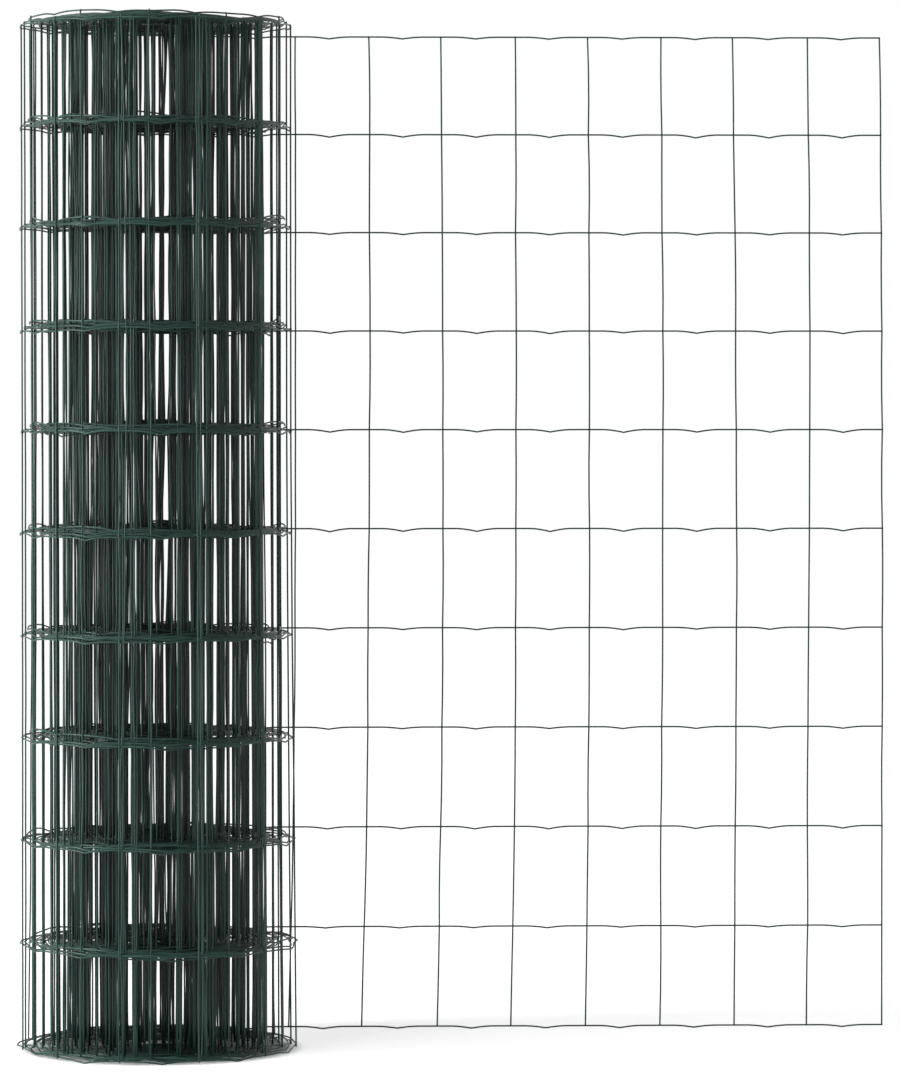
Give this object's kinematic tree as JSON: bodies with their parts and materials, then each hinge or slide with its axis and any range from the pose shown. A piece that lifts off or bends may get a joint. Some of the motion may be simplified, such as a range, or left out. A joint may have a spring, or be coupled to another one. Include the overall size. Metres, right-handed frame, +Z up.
{
  "type": "wire fencing roll",
  "caption": "Upright roll of crimped welded wire mesh fencing with a plastic coat, hollow along its axis, its outer end unrolled flat to one side for fixing to posts.",
  "frame": {"origin": "on the roll's axis, at the floor that the roll stands on", "axes": "+Z up along the roll's axis, +X the way the free end runs, +Y towards the side it leaves from"},
  "size_m": [0.8624, 0.2727, 1.0039],
  "materials": {
    "coated_wire": "dark green plastic coat on steel wire, satin"
  },
  "bodies": {
    "root": {"wound_roll": "coated_wire", "free_end": "coated_wire"}
  },
  "joints": []
}
